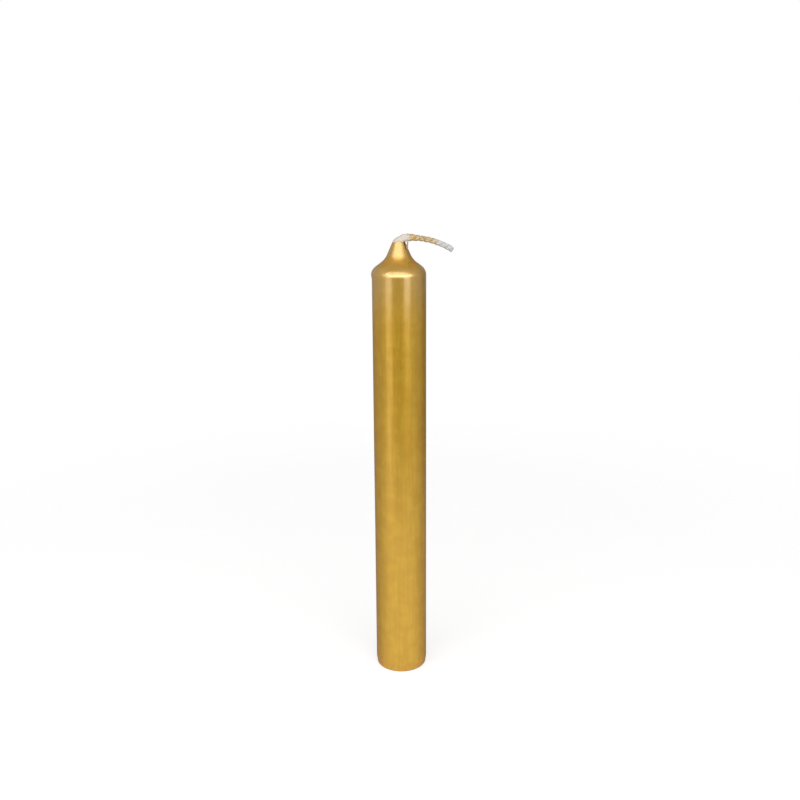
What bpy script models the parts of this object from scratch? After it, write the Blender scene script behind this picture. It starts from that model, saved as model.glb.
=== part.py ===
"""Gold-lacquered household candle for a 22 mm holder, with a plaited cotton wick bent to one side.

The pieces are those that such a candle is made of. Three cotton plies are plaited into a wick, a core of
white wax is pressed round it, the core is dipped in a coloured wax coat, and all of it in gold lacquer.
Bending the wick has torn the lacquer, so that a sleeve of it stays on the middle of the free wick.
Metres, +Z up, origin at the centre of the candle's underside, wick bent towards +X.
"""

import math

import bmesh
import bpy
from mathutils import Matrix, Vector

MM = 0.001

# Candle body, measured on the outside of the lacquer
BODY_DIAMETER = 22.0 * MM
BODY_LENGTH = 175.7 * MM
FOOT_TAPER_HEIGHT = 3.3 * MM
FOOT_TAPER_DEPTH = 0.45 * MM
FOOT_EDGE_RADIUS = 0.8 * MM

# Head: a sloping shoulder above the body, which runs into a hollow neck
SHOULDER_HEIGHT = 4.1 * MM
SHOULDER_RADIUS = 2.2 * MM
NECK_BASE_DIAMETER = 11.2 * MM
NECK_LENGTH = 7.2 * MM
NECK_HOLLOW_RADIUS = 7.0 * MM

# Layers, from the outside in. A lip is a layer's wall round the wick, where the neck ends.
LACQUER_THICKNESS = 0.15 * MM
LACQUER_LIP = 0.6 * MM
COAT_THICKNESS = 0.8 * MM
COAT_LIP = 0.8 * MM
CORE_LIP = 0.6 * MM
LAYER_GAP = 0.3 * MM

# Plaited wick
PLY_DIAMETER = 0.58 * MM
PLY_GAP = 0.06 * MM
PLAIT_LENGTH = 6.6 * MM
WICK_GAP = 0.15 * MM
WICK_BEND_RADIUS = 1.4 * MM
WICK_BEND_ANGLE = math.radians(90)
WICK_LEVEL_LENGTH = 3.15 * MM
WICK_DROOP_RADIUS = 32.0 * MM
WICK_DROOP_ANGLE = math.radians(32)

# Lacquer left on the wick. It begins past the neck's rim and thins out from a bead.
TEAR_WIDTH = 0.9 * MM
SLEEVE_THICKNESS = 0.1 * MM
SLEEVE_GAP = 0.1 * MM
SLEEVE_BEAD = 0.25 * MM
SLEEVE_BEAD_LENGTH = 3.0 * MM
BARE_END_LENGTH = 5.9 * MM

# Fineness of the facets. A ply has more sections in a plait length where it shows.
ROUND_FACETS = 36
FOOT_ARC_FACETS = 2
SHOULDER_ARC_FACETS = 4
NECK_ARC_FACETS = 3
PLY_SIDES = 5
HIDDEN_PLY_SECTIONS = 9
SHOWN_PLY_SECTIONS = 18
SLEEVE_SIDES = 16
SLEEVE_SECTION_LENGTH = 1.6 * MM
WELD = 0.001 * MM
TURNED_SHARP_ANGLE = math.radians(35)
PLY_SHARP_ANGLE = math.radians(80)

# A plait of three plies. With this sway and lift, the plies pass each other one pitch apart.
PLY_COUNT = 3
ply_pitch = PLY_DIAMETER + PLY_GAP
plait_sway = 1.0 * ply_pitch
plait_lift = 0.9 * ply_pitch


def plait_offset(phase):
    """Sideways and front-to-back place of a ply, on a figure of eight that each plait length runs through."""
    return plait_sway * math.sin(phase), plait_lift * math.sin(2 * phase)


def plait_reach():
    """Radius of the round space that the plait fills."""
    steps = 360
    centre_reach = max(math.hypot(*plait_offset(math.tau * step / steps)) for step in range(steps))
    return centre_reach + PLY_DIAMETER / 2


wick_radius = plait_reach()
bore_radius = wick_radius + WICK_GAP

body_radius = BODY_DIAMETER / 2
shoulder_top = BODY_LENGTH + SHOULDER_HEIGHT
tip_height = shoulder_top + NECK_LENGTH
tip_radius = bore_radius + COAT_LIP + LAYER_GAP + LACQUER_THICKNESS

# Depth of each layer's faces below the outside of the lacquer
coat_depth = LACQUER_THICKNESS + LAYER_GAP
coat_back_depth = coat_depth + COAT_THICKNESS
core_depth = coat_back_depth + LAYER_GAP

# The candle's outline as (radius, height) corners joined by straight lines, from the axis outwards and up.
# Each has the radius that rounds it, positive on an outer corner and negative in a hollow, and its facets.
CORNERS = [
    (Vector((0.0, 0.0)), 0.0, 0),
    (Vector((body_radius - FOOT_TAPER_DEPTH, 0.0)), FOOT_EDGE_RADIUS, FOOT_ARC_FACETS),
    (Vector((body_radius, FOOT_TAPER_HEIGHT)), 0.0, 0),
    (Vector((body_radius, BODY_LENGTH)), SHOULDER_RADIUS, SHOULDER_ARC_FACETS),
    (Vector((NECK_BASE_DIAMETER / 2, shoulder_top)), -NECK_HOLLOW_RADIUS, NECK_ARC_FACETS),
    (Vector((tip_radius, tip_height)), 0.0, 0),
]


def corners_at(depth):
    """The corners moved inwards, so that a layer between two depths is equally thick all over."""
    corners = [corner for corner, _, _ in CORNERS]
    lines = []
    for start, end in zip(corners, corners[1:]):
        along = (end - start).normalized()
        inwards = Vector((-along.y, along.x))
        lines.append((start + inwards * depth, along))
    moved = [Vector((0.0, depth))]
    for (start, along), (next_start, next_along) in zip(lines, lines[1:]):
        distance = (next_start - start).cross(next_along) / along.cross(next_along)
        moved.append(start + along * distance)
    last_start, last_along = lines[-1]
    moved.append(last_start + last_along * (corners[-1] - corners[-2]).length)
    return moved


def rounded_corner(before, corner, after, radius, facets):
    """Points of the arc that rounds a corner, held within the nearer half of the lines that meet there."""
    back = (before - corner).normalized()
    ahead = (after - corner).normalized()
    half_angle = back.angle(ahead) / 2
    room = min((before - corner).length, (after - corner).length) / 2
    setback = min(radius / math.tan(half_angle), room)
    centre = corner + (back + ahead).normalized() * (setback / math.cos(half_angle))
    first_spoke = corner + back * setback - centre
    turn = math.copysign(math.pi - 2 * half_angle, -back.cross(ahead))
    points = []
    for facet in range(facets + 1):
        points.append(centre + Matrix.Rotation(turn * facet / facets, 2) @ first_spoke)
    return points


def outline(depth, top_height):
    """The candle's outline at a depth below its surface, from the axis to a height on the neck."""
    corners = corners_at(depth)
    neck_line = corners[-1] - corners[-2]
    corners[-1] = corners[-2] + neck_line * ((top_height - corners[-2].y) / neck_line.y)
    points = [corners[0]]
    for index in range(1, len(corners) - 1):
        _, rounding, facets = CORNERS[index]
        radius = max(rounding - depth, 0.0) if rounding >= 0 else depth - rounding
        if radius == 0:
            points.append(corners[index])
        else:
            points += rounded_corner(*corners[index - 1 : index + 2], radius, facets)
    points.append(corners[-1])
    return points


def neck_height_at(depth, radius):
    """Height at which the neck, at a depth below its surface, has narrowed to a radius."""
    base, tip = corners_at(depth)[-2:]
    return base.y + (tip.y - base.y) * (radius - base.x) / (tip.x - base.x)


# The core ends where its neck has narrowed to its lip, and the coat closes in over it to the wick
core_top = neck_height_at(core_depth, bore_radius + CORE_LIP)
coat_ceiling = core_top + LAYER_GAP
coat_top = tip_height - coat_depth
lacquer_ceiling = tip_height - LACQUER_THICKNESS


def core_outline():
    """The pressed body, trimmed flat underneath, with the wick's bore right through it."""
    points = outline(core_depth, core_top)
    points[0] = Vector((bore_radius, core_depth))
    return points + [Vector((bore_radius, core_top))]


def coat_outline():
    """A cup that is closed under the core and drawn in above it."""
    bore = [Vector((bore_radius, coat_top)), Vector((bore_radius, coat_ceiling))]
    return outline(coat_depth, coat_top) + bore + outline(coat_back_depth, coat_ceiling)[::-1]


def lacquer_outline():
    """A film that covers the coat, underside included, and turns in over the neck's rim."""
    lip_radius = tip_radius - LACQUER_LIP
    lip = [Vector((lip_radius, tip_height)), Vector((lip_radius, lacquer_ceiling))]
    return outline(0.0, tip_height) + lip + outline(LACQUER_THICKNESS, lacquer_ceiling)[::-1]


def turned(points, is_ring=False):
    """Spins an outline round the candle's axis. It starts and ends on the axis, unless it is a closed ring."""
    form = bmesh.new()
    verts = [form.verts.new((point.x, 0.0, point.y)) for point in points]
    edges = [form.edges.new(pair) for pair in zip(verts, verts[1:])]
    if is_ring:
        edges.append(form.edges.new((verts[-1], verts[0])))
    bmesh.ops.spin(
        form,
        geom=verts + edges,
        cent=(0.0, 0.0, 0.0),
        axis=(0.0, 0.0, 1.0),
        angle=math.tau,
        steps=ROUND_FACETS,
        use_merge=True,
    )
    bmesh.ops.remove_doubles(form, verts=form.verts, dist=WELD)
    bmesh.ops.recalc_face_normals(form, faces=form.faces)
    return form


# The wick's run from its foot, flush with the core's underside, to its cut end. Each stretch has a length
# and, where the wick is bent, a radius.
wick_foot = core_depth
wick_rise = tip_height - wick_foot
bend_length = WICK_BEND_RADIUS * WICK_BEND_ANGLE
droop_length = WICK_DROOP_RADIUS * WICK_DROOP_ANGLE
free_length = bend_length + WICK_LEVEL_LENGTH + droop_length
WICK_RUN = [
    (wick_rise, None),
    (bend_length, WICK_BEND_RADIUS),
    (WICK_LEVEL_LENGTH, None),
    (droop_length, WICK_DROOP_RADIUS),
]
FRONT_TO_BACK = Vector((0.0, 1.0, 0.0))


def wick_place(distance):
    """Centre of the wick at a distance from its foot, and the sideways direction square to it there."""
    centre = Vector((0.0, 0.0, wick_foot))
    heading = math.pi / 2
    for length, radius in WICK_RUN:
        part = min(distance, length)
        if radius is None:
            centre.x += part * math.cos(heading)
            centre.z += part * math.sin(heading)
        else:
            new_heading = heading - part / radius
            centre.x += radius * (math.sin(heading) - math.sin(new_heading))
            centre.z += radius * (math.cos(new_heading) - math.cos(heading))
            heading = new_heading
        distance -= part
        if distance <= 0:
            break
    return centre, Vector((math.sin(heading), 0.0, -math.cos(heading)))


def ring_of_verts(form, centre, across, up, radius, sides):
    ring = []
    for corner in range(sides):
        angle = math.tau * corner / sides
        ring.append(form.verts.new(centre + (across * math.cos(angle) + up * math.sin(angle)) * radius))
    return ring


def join_rings(form, rings):
    """Joins each ring of verts to the next with quads."""
    for ring, next_ring in zip(rings, rings[1:]):
        for index, vert in enumerate(ring):
            after = (index + 1) % len(ring)
            form.faces.new((vert, ring[after], next_ring[after], next_ring[index]))


def ply_sections():
    """Distances from the wick's foot of a ply's sections, finer from the neck's tip onwards."""
    hidden = round(wick_rise / PLAIT_LENGTH * HIDDEN_PLY_SECTIONS)
    shown = round(free_length / PLAIT_LENGTH * SHOWN_PLY_SECTIONS)
    distances = [wick_rise * section / hidden for section in range(hidden)]
    return distances + [wick_rise + free_length * section / shown for section in range(shown + 1)]


def ply(number):
    """One ply of the plait, from the wick's foot to its cut end."""
    centres = []
    sideways = []
    for distance in ply_sections():
        centre, side = wick_place(distance)
        sway, lift = plait_offset(math.tau * (distance / PLAIT_LENGTH + number / PLY_COUNT))
        centres.append(centre + side * sway + FRONT_TO_BACK * lift)
        sideways.append(side)
    form = bmesh.new()
    rings = []
    for index, (centre, side) in enumerate(zip(centres, sideways)):
        before = centres[max(index - 1, 0)]
        after = centres[min(index + 1, len(centres) - 1)]
        along = (after - before).normalized()
        across = (side - along * side.dot(along)).normalized()
        rings.append(ring_of_verts(form, centre, across, along.cross(across), PLY_DIAMETER / 2, PLY_SIDES))
    join_rings(form, rings)
    form.faces.new(rings[0])
    form.faces.new(rings[-1])
    bmesh.ops.recalc_face_normals(form, faces=form.faces)
    return form


def sleeve():
    """Lacquer film round the middle of the free wick, open at both ends."""
    lead = bend_length + tip_radius + TEAR_WIDTH - WICK_BEND_RADIUS
    length = free_length - lead - BARE_END_LENGTH
    inner_radius = wick_radius + SLEEVE_GAP
    sections = max(round(length / SLEEVE_SECTION_LENGTH), 2)
    form = bmesh.new()
    outer_rings = []
    inner_rings = []
    for section in range(sections + 1):
        run = length * section / sections
        centre, side = wick_place(wick_rise + lead + run)
        bead = SLEEVE_BEAD * max(1 - run / SLEEVE_BEAD_LENGTH, 0.0)
        outer_radius = inner_radius + SLEEVE_THICKNESS + bead
        outer_rings.append(ring_of_verts(form, centre, side, FRONT_TO_BACK, outer_radius, SLEEVE_SIDES))
        inner_rings.append(ring_of_verts(form, centre, side, FRONT_TO_BACK, inner_radius, SLEEVE_SIDES))
    join_rings(form, outer_rings)
    join_rings(form, inner_rings)
    join_rings(form, (outer_rings[0], inner_rings[0]))
    join_rings(form, (outer_rings[-1], inner_rings[-1]))
    bmesh.ops.recalc_face_normals(form, faces=form.faces)
    return form


def srgb(red, green, blue):
    """Linear colour of a screen colour given from 0 to 255."""
    shares = [value / 255 for value in (red, green, blue)]
    return [value / 12.92 if value <= 0.04045 else ((value + 0.055) / 1.055) ** 2.4 for value in shares]


def material(name, colour, roughness, metallic=0.0):
    made = bpy.data.materials.new(name)
    made.use_nodes = True
    surface = made.node_tree.nodes["Principled BSDF"]
    surface.inputs["Base Color"].default_value = (*colour, 1.0)
    surface.inputs["Roughness"].default_value = roughness
    surface.inputs["Metallic"].default_value = metallic
    made.diffuse_color = (*colour, 1.0)
    return made


def add_piece(name, form, height, surface, candle, sharp_angle=TURNED_SHARP_ANGLE):
    """Makes a form into a smooth-shaded object of the candle, with its origin on the axis at a height."""
    bmesh.ops.translate(form, verts=form.verts, vec=(0.0, 0.0, -height))
    mesh = bpy.data.meshes.new(name)
    form.to_mesh(mesh)
    form.free()
    mesh.shade_smooth()
    mesh.set_sharp_from_angle(angle=sharp_angle)
    mesh.materials.append(surface)
    made = bpy.data.objects.new(name, mesh)
    made.location.z = height
    made.parent = candle
    bpy.context.scene.collection.objects.link(made)


def clear_scene():
    for old in list(bpy.data.objects):
        bpy.data.objects.remove(old, do_unlink=True)


def build():
    clear_scene()
    candle = bpy.data.objects.new("candle", None)
    bpy.context.scene.collection.objects.link(candle)

    white_wax = material("white_wax", srgb(236, 230, 214), 0.5)
    add_piece("wax_core", turned(core_outline(), is_ring=True), core_depth, white_wax, candle)

    ochre_wax = material("ochre_wax", srgb(196, 120, 48), 0.45)
    add_piece("colour_coat", turned(coat_outline()), coat_depth, ochre_wax, candle)

    gold = material("gold_lacquer", srgb(205, 165, 69), 0.38, metallic=1.0)
    add_piece("gold_lacquer", turned(lacquer_outline()), 0.0, gold, candle)

    for number in range(PLY_COUNT):
        name = f"wick_ply_{number + 1}"
        cotton = material(name, srgb(222, 220, 213), 0.9)
        add_piece(name, ply(number), wick_foot, cotton, candle, PLY_SHARP_ANGLE)

    worn_gold = material("worn_gold", srgb(182, 132, 62), 0.5, metallic=0.8)
    add_piece("wick_lacquer_sleeve", sleeve(), tip_height, worn_gold, candle)


build()
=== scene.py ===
import math
import random

import bmesh
import bpy
from mathutils import Matrix, Vector, noise


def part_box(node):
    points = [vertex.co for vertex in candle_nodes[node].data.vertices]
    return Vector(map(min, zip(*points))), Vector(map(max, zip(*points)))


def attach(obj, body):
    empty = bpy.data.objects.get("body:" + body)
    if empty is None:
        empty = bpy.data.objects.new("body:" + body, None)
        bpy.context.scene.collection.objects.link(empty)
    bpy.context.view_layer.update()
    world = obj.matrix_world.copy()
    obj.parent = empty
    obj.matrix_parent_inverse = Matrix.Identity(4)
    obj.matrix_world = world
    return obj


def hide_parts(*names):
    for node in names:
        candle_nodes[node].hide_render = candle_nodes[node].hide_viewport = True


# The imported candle: a core, a coat and a lacquer film round a plaited wick. All of it is one fixed body,
# which stands on its flat underside with the wick bent over towards +X.
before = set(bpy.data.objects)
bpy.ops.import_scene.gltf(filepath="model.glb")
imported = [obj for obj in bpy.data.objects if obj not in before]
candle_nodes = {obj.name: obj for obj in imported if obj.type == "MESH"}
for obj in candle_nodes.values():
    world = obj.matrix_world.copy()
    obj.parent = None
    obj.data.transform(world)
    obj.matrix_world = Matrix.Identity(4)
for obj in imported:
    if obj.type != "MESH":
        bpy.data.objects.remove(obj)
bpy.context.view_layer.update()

# The wick. Three plies of bleached cotton are plaited together, and each ply is a bundle of twisted yarns.
# The candle is pressed round the finished wick, which runs from the core's underside up out of the neck.
MM = 0.001
PLY_COUNT = 3
PLY_DIAMETER = 0.58 * MM
PLY_PITCH = 0.64 * MM
PLAIT_SWAY = 1.0 * PLY_PITCH
PLAIT_LIFT = 0.9 * PLY_PITCH
PLAIT_LENGTH = 6.6 * MM
WICK_BEND_RADIUS = 1.4 * MM
WICK_LEVEL_LENGTH = 3.15 * MM
WICK_DROOP_RADIUS = 32.0 * MM
WICK_DROOP_ANGLE = math.radians(32)
YARNS_IN_PLY = 5
YARN_DIAMETER = 0.235 * MM
YARN_ORBIT = 0.17 * MM
YARN_TWIST_LENGTH = 2.6 * MM
HIDDEN_STEP = 0.6 * MM
SHOWN_STEP = 0.16 * MM
SHOWN_BELOW_TIP = 1.5 * MM
BARE_END_LENGTH = 5.9 * MM
END_SPREAD = 0.16
CUT_SLANT = 1.3 * MM
CUT_RAGGEDNESS = 0.25 * MM
CUT_COVER = 0.35 * MM
CUT_TAPER = 0.6
WICK_SEED = 11
STRAND_MERGE = 0.0001 * MM
FRONT_TO_BACK = Vector((0.0, 1.0, 0.0))

wick_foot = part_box("wick_ply_1")[0].z
tip_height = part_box("gold_lacquer")[1].z
wick_rise = tip_height - wick_foot
bend_length = WICK_BEND_RADIUS * math.pi / 2
free_length = bend_length + WICK_LEVEL_LENGTH + WICK_DROOP_RADIUS * WICK_DROOP_ANGLE
wick_run = [
    (wick_rise, None),
    (bend_length, WICK_BEND_RADIUS),
    (WICK_LEVEL_LENGTH, None),
    (WICK_DROOP_RADIUS * WICK_DROOP_ANGLE, WICK_DROOP_RADIUS),
]


def wick_place(distance):
    """Centre of the wick at a distance from its foot, the direction square to it there, and its heading."""
    centre = Vector((0.0, 0.0, wick_foot))
    heading = math.pi / 2
    for length, radius in wick_run:
        part = min(distance, length)
        if radius is None:
            centre.x += part * math.cos(heading)
            centre.z += part * math.sin(heading)
        else:
            new_heading = heading - part / radius
            centre.x += radius * (math.sin(heading) - math.sin(new_heading))
            centre.z += radius * (math.cos(new_heading) - math.cos(heading))
            heading = new_heading
        distance -= part
        if distance <= 0:
            break
    side = Vector((math.sin(heading), 0.0, -math.cos(heading)))
    return centre, side, Vector((math.cos(heading), 0.0, math.sin(heading)))


def end_spread(distance):
    """How far the plait has opened out towards its cut end."""
    share = (distance - wick_rise - free_length + BARE_END_LENGTH) / BARE_END_LENGTH
    return 1 + END_SPREAD * min(max(share, 0.0), 1.0)


def ply_place(number, distance):
    """Centre of a ply, on the figure of eight that it runs through once in each plait length."""
    centre, side, _ = wick_place(distance)
    phase = math.tau * (distance / PLAIT_LENGTH + number / PLY_COUNT)
    spread = end_spread(distance)
    sway = PLAIT_SWAY * math.sin(phase) * spread
    lift = PLAIT_LIFT * math.sin(2 * phase) * spread
    return centre + side * sway + FRONT_TO_BACK * lift


def yarn_place(number, yarn, distance):
    """Centre of a yarn, which winds round its ply's centre."""
    _, side, _ = wick_place(distance)
    turn = math.tau * (distance / YARN_TWIST_LENGTH + yarn / YARNS_IN_PLY)
    orbit = YARN_ORBIT * end_spread(distance)
    return ply_place(number, distance) + (side * math.cos(turn) + FRONT_TO_BACK * math.sin(turn)) * orbit


def steps_between(start, end, step):
    count = max(math.ceil((end - start) / step), 1)
    return [start + (end - start) * index / count for index in range(count + 1)]


def add_strand(curve, points, thicknesses):
    """Adds a strand through the points to a curve. Thicknesses are shares of the curve's own."""
    strand = curve.splines.new("POLY")
    strand.points.add(len(points) - 1)
    for knot, point, thickness in zip(strand.points, points, thicknesses):
        knot.co = (*point, 1.0)
        knot.radius = thickness


def strand_curve(name, diameter):
    curve = bpy.data.curves.new(name, "CURVE")
    curve.dimensions = "3D"
    curve.bevel_depth = diameter / 2
    curve.bevel_resolution = 1
    curve.use_fill_caps = True
    return curve


def curve_form(curve):
    """The curve's strands as a bmesh, with their ends closed."""
    carrier = bpy.data.objects.new(curve.name, curve)
    bpy.context.scene.collection.objects.link(carrier)
    bpy.context.view_layer.update()
    mesh = bpy.data.meshes.new_from_object(carrier)
    form = bmesh.new()
    form.from_mesh(mesh)
    bmesh.ops.remove_doubles(form, verts=form.verts, dist=STRAND_MERGE)
    bpy.data.objects.remove(carrier)
    bpy.data.curves.remove(curve)
    bpy.data.meshes.remove(mesh)
    return form


def finished_piece(name, form, surface, replaced=(), sharp_angle=None, wall=None):
    """Makes a form into a smooth piece with its surface, rides it on the root body and hides the parts it
    replaces. A wall grows inwards.
    """
    mesh = bpy.data.meshes.new(name)
    form.to_mesh(mesh)
    form.free()
    mesh.shade_smooth()
    if sharp_angle is not None:
        mesh.set_sharp_from_angle(angle=sharp_angle)
    mesh.materials.append(surface.material)
    piece = bpy.data.objects.new(name, mesh)
    bpy.context.scene.collection.objects.link(piece)
    if wall is not None:
        thickening = piece.modifiers.new("wall", "SOLIDIFY")
        thickening.thickness = wall
        thickening.offset = -1.0
    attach(piece, "root")
    if replaced:
        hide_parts(*replaced)


# Sockets of the colour mixing node, which share their names with sockets for other kinds of value.
COLOUR_A = 6
COLOUR_B = 7
MIXED_COLOUR = 2


def srgb(red, green, blue):
    """Linear colour of a screen colour given from 0 to 255."""
    shares = [value / 255 for value in (red, green, blue)]
    linear = [value / 12.92 if value <= 0.04045 else ((value + 0.055) / 1.055) ** 2.4 for value in shares]
    return (*linear, 1.0)


class Wiring:
    """A tree of shader nodes under construction."""

    def __init__(self, tree, coordinates):
        self.tree = tree
        self.places = self.node("ShaderNodeTexCoord").outputs[coordinates]

    def fill(self, node, inputs):
        """Fills inputs of a node, each with a value or with an output of another node."""
        for socket, value in inputs.items():
            if isinstance(value, bpy.types.NodeSocket):
                self.tree.links.new(value, node.inputs[socket])
            else:
                node.inputs[socket].default_value = value

    def node(self, kind, inputs=None, **settings):
        """Adds a node with its settings and its inputs."""
        node = self.tree.nodes.new(kind)
        for name, value in settings.items():
            setattr(node, name, value)
        self.fill(node, inputs or {})
        return node

    def stretched(self, along_x=1.0, along_z=1.0):
        """The coordinates, with a pattern's grains drawn out along the axes by these factors."""
        scale = (1 / along_x, 1.0, 1 / along_z)
        return self.node("ShaderNodeMapping", {"Vector": self.places, "Scale": scale}).outputs["Vector"]

    def grain(self, size, detail, places=None, distortion=0.0):
        """Cloudy noise from 0 to 1 with grains of a size in metres."""
        inputs = {"Scale": 1 / size, "Detail": detail, "Distortion": distortion}
        inputs["Vector"] = places or self.places
        return self.node("ShaderNodeTexNoise", inputs).outputs["Fac"]

    def coordinate(self, axis, places=None):
        """The part of a place or a direction that lies along an axis. Along Z, a place's is its height."""
        return self.node("ShaderNodeSeparateXYZ", {"Vector": places or self.places}).outputs[axis]

    def ranged(self, value, start, end, low=0.0, high=1.0, smooth=True):
        """Maps the stretch from start to end of a value to the one from low to high."""
        inputs = {"Value": value, "From Min": start, "From Max": end, "To Min": low, "To Max": high}
        interpolation = "SMOOTHSTEP" if smooth else "LINEAR"
        return self.node("ShaderNodeMapRange", inputs, interpolation_type=interpolation).outputs["Result"]

    def combined(self, operation, first, second):
        """Sum, product or other operation of two values, of which either may be a number."""
        return self.node("ShaderNodeMath", {0: first, 1: second}, operation=operation).outputs["Value"]

    def mixed(self, share, first, second):
        """Colour that goes from the first to the second as the share goes from 0 to 1."""
        inputs = {"Factor": share, COLOUR_A: first, COLOUR_B: second}
        return self.node("ShaderNodeMix", inputs, data_type="RGBA").outputs[MIXED_COLOUR]


class Surface(Wiring):
    """A material under construction, with one shader that the patterns are wired to."""

    def __init__(self, name):
        self.material = bpy.data.materials.new(name)
        self.material.use_nodes = True
        super().__init__(self.material.node_tree, "Object")
        self.shader = self.tree.nodes["Principled BSDF"]

    def look(self, inputs):
        """Fills inputs of the shader, each with a value for the whole surface or with a pattern."""
        self.fill(self.shader, inputs)

    def relief(self, heights):
        """Bumps the surface by a list of patterns, each with the height in metres that 1 stands for."""
        inputs = {}
        for pattern, height in heights:
            bump = self.node("ShaderNodeBump", {"Height": pattern, "Distance": height, **inputs})
            inputs = {"Normal": bump.outputs["Normal"]}
        self.look(inputs)


LIT_COTTON = srgb(226, 225, 222)
SHADED_COTTON = srgb(196, 194, 189)

cotton = Surface("cotton_yarn")
fibres = cotton.grain(0.05 * MM, 4.0, cotton.stretched(along_x=5.0))
clumps = cotton.grain(0.6 * MM, 3.0)
cotton_shade = cotton.combined("MULTIPLY", cotton.ranged(fibres, 0.3, 0.7), cotton.ranged(clumps, 0.2, 0.8))
cotton.look({
    "Base Color": cotton.mixed(cotton_shade, SHADED_COTTON, LIT_COTTON),
    "Metallic": 0.0,
    "Roughness": cotton.ranged(fibres, 0.2, 0.8, 0.7, 0.95),
    "Sheen Weight": 0.25,
    "Sheen Roughness": 0.5,
})
cotton.relief([(clumps, 0.02 * MM), (fibres, 0.012 * MM)])

wick_random = random.Random(WICK_SEED)
for number in range(PLY_COUNT):
    yarn_curve = strand_curve("yarns", YARN_DIAMETER)
    for yarn in range(YARNS_IN_PLY):
        end = wick_rise + free_length - CUT_SLANT - CUT_RAGGEDNESS - CUT_COVER
        end_place = yarn_place(number, yarn, end)
        centre, side, _ = wick_place(end)
        lowness = (end_place - centre).dot(side) / (PLAIT_SWAY + YARN_ORBIT)
        end += CUT_SLANT * (lowness + 1) / 2 + wick_random.uniform(0, CUT_RAGGEDNESS)
        distances = steps_between(0.0, wick_rise - SHOWN_BELOW_TIP, HIDDEN_STEP)[:-1]
        distances += steps_between(wick_rise - SHOWN_BELOW_TIP, end, SHOWN_STEP)
        points = [yarn_place(number, yarn, distance) for distance in distances]
        thicknesses = [end_spread(distance) for distance in distances]
        thicknesses[-1] *= CUT_TAPER
        add_strand(yarn_curve, points, thicknesses)
    name = f"wick_ply_{number + 1}"
    finished_piece(f"{name}_yarns", curve_form(yarn_curve), cotton, [name])

# Loose fibres that stand out of the cut end and of the bend, where the plait has opened. They are single
# cotton fibres, stiff with a little wax.
FIBRE_DIAMETER = 0.035 * MM
FIBRES_AT_END = 8
END_FIBRE_ROOTS = (0.3 * MM, 4.5 * MM)
END_FIBRE_LENGTHS = (0.2 * MM, 0.5 * MM)
FIBRES_AT_BEND = 8
BEND_FIBRE_ROOTS = (0.4 * MM, 4.0 * MM)
BEND_FIBRE_LENGTHS = (0.3 * MM, 0.6 * MM)
FIBRE_SEAT = 0.4 * PLY_DIAMETER
FIBRE_ALONG = 1.6
FIBRE_OUTWARDS = 0.45
FIBRE_STRAY = 0.35
FIBRE_CURLS = (-0.5, 0.3)
STRAY_CURL = 0.3
FIBRE_CURL_LENGTH = 1.5 * MM
FIBRE_TAPER = 0.1
FIBRE_STEPS = 6

fibre_curve = strand_curve("fibres", FIBRE_DIAMETER)
fibre_curve.bevel_resolution = 0
for index in range(FIBRES_AT_END + FIBRES_AT_BEND):
    at_end = index < FIBRES_AT_END
    if at_end:
        root = wick_rise + free_length - wick_random.uniform(*END_FIBRE_ROOTS)
        length = wick_random.uniform(*END_FIBRE_LENGTHS)
    else:
        root = wick_rise + wick_random.uniform(*BEND_FIBRE_ROOTS)
        length = wick_random.uniform(*BEND_FIBRE_LENGTHS)
    number = wick_random.randrange(PLY_COUNT)
    centre, _, along = wick_place(root)
    outwards = (ply_place(number, root) - centre).normalized()
    start = ply_place(number, root) + outwards * FIBRE_SEAT
    stray = Vector([wick_random.uniform(-1, 1) for _ in range(3)])
    way = (along * FIBRE_ALONG + outwards * FIBRE_OUTWARDS + stray * FIBRE_STRAY).normalized()
    bend = (outwards * wick_random.uniform(*FIBRE_CURLS) + stray * STRAY_CURL) / FIBRE_CURL_LENGTH
    points = []
    for step in range(FIBRE_STEPS + 1):
        run = length * step / FIBRE_STEPS
        points.append(start + way * run + bend * run * run)
    add_strand(fibre_curve, points, [1.0 - FIBRE_TAPER * step for step in range(FIBRE_STEPS + 1)])
finished_piece("wick_loose_fibres", curve_form(fibre_curve), cotton)

# The core: white wax granules pressed round the wick into a straight body. The dip coat hides it, so its
# solid is shown as it is, with its grain.
WHITE_WAX = srgb(240, 235, 222)
CREAM_WAX = srgb(228, 220, 200)


def dress_solid(name, surface):
    """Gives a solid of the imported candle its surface."""
    solid_materials = candle_nodes[name].data.materials
    solid_materials.clear()
    solid_materials.append(surface.material)


core_wax = Surface("pressed_white_wax")
granules = core_wax.grain(0.9 * MM, 2.0)
clouding = core_wax.grain(6 * MM, 3.0)
core_wax.look({
    "Base Color": core_wax.mixed(clouding, WHITE_WAX, CREAM_WAX),
    "Roughness": core_wax.ranged(granules, 0.3, 0.7, 0.42, 0.6),
    "Specular IOR Level": 0.4,
    "Subsurface Weight": 0.35,
    "Subsurface Scale": 1.5 * MM,
})
core_wax.relief([(granules, 0.05 * MM)])
dress_solid("wax_core", core_wax)

# The coat: hard ochre wax from one dip, glossy and a little uneven. It shows in the chips of the lacquer
# and round the wick, where the lacquer is torn.
OCHRE_WAX = srgb(150, 88, 46)
BROWN_WAX = srgb(100, 54, 30)
BROWN_WAX_SPECK = srgb(118, 52, 22)

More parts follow.
